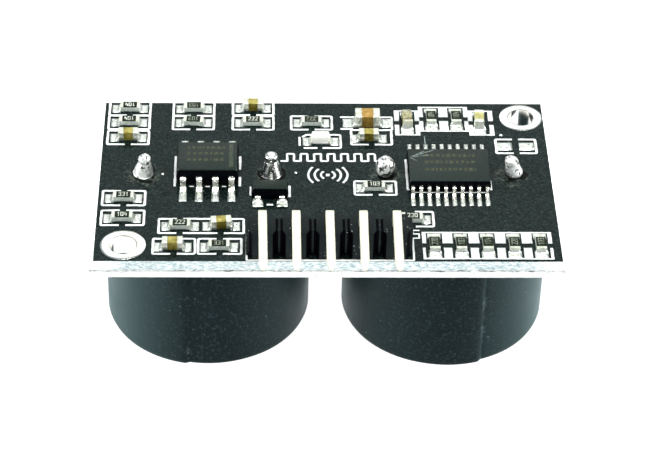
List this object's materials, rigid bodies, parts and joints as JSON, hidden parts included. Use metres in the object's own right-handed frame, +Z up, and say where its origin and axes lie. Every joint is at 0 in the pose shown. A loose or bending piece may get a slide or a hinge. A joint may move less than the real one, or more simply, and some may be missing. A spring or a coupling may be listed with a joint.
{
  "type": "ultrasonic distance sensor",
  "caption": "Small circuit board with two round ultrasonic transducers in rubber sleeves under it and a row of bent header pins, for measuring distance.",
  "frame": {"origin": "on the surface that the sensor stands on, at the centre of the whole object seen from above", "axes": "+X along the board's long side, towards the second transducer; +Y away from the edge that the header pins point over; +Z up, through the board towards its component side"},
  "size_m": [0.0364, 0.0256, 0.0168],
  "materials": {
    "solder_mask": "satin",
    "header_plastic": "satin",
    "package_epoxy": "matte",
    "led_body": "satin",
    "tinned_brass": "satin",
    "solder": "satin",
    "rubber_sleeve": "satin",
    "can_aluminium": "satin",
    "screen_steel": "satin",
    "phenolic_base": "matte",
    "silicone": "satin",
    "piezo_ceramic": "matte",
    "cone_aluminium": "satin",
    "resistor_body": "satin",
    "capacitor_body": "satin"
  },
  "bodies": {
    "root": {"circuit_board": "solder_mask", "header_moulding": "header_plastic", "amplifier_ic": "package_epoxy", "controller_ic": "package_epoxy", "transistor_q1": "package_epoxy", "led_d1": "led_body", "header_pin_1": "tinned_brass", "header_pin_2": "tinned_brass", "header_pin_3": "tinned_brass", "header_pin_4": "tinned_brass", "header_pin_5": "tinned_brass", "left_sleeve": "rubber_sleeve", "left_can": "can_aluminium", "left_screen": "screen_steel", "left_base": "phenolic_base", "left_silicone_ring": "silicone", "left_piezo_disc": "piezo_ceramic", "left_resonator_cone": "cone_aluminium", "left_pin_a": "tinned_brass", "solder_joint_left_a": "solder", "left_pin_b": "tinned_brass", "solder_joint_left_b": "solder", "right_sleeve": "rubber_sleeve", "right_can": "can_aluminium", "right_screen": "screen_steel", "right_base": "phenolic_base", "right_silicone_ring": "silicone", "right_piezo_disc": "piezo_ceramic", "right_resonator_cone": "cone_aluminium", "right_pin_a": "tinned_brass", "solder_joint_right_a": "solder", "right_pin_b": "tinned_brass", "solder_joint_right_b": "solder", "resistor_r1": "resistor_body", "resistor_r2": "resistor_body", "resistor_r3": "resistor_body", "resistor_r4": "resistor_body", "resistor_r5": "resistor_body", "resistor_r6": "resistor_body", "resistor_r7": "resistor_body", "resistor_r8": "resistor_body", "resistor_r9": "resistor_body", "resistor_r10": "resistor_body", "resistor_r11": "resistor_body", "resistor_r12": "resistor_body", "resistor_r13": "resistor_body", "resistor_r14": "resistor_body", "resistor_r15": "resistor_body", "resistor_r16": "resistor_body", "resistor_r17": "resistor_body", "resistor_r18": "resistor_body", "resistor_r19": "resistor_body", "capacitor_c1": "capacitor_body", "capacitor_c2": "capacitor_body", "capacitor_c3": "capacitor_body", "capacitor_c4": "capacitor_body", "capacitor_c5": "capacitor_body", "capacitor_c6": "capacitor_body", "capacitor_c7": "capacitor_body", "capacitor_c8": "capacitor_body"}
  },
  "joints": []
}
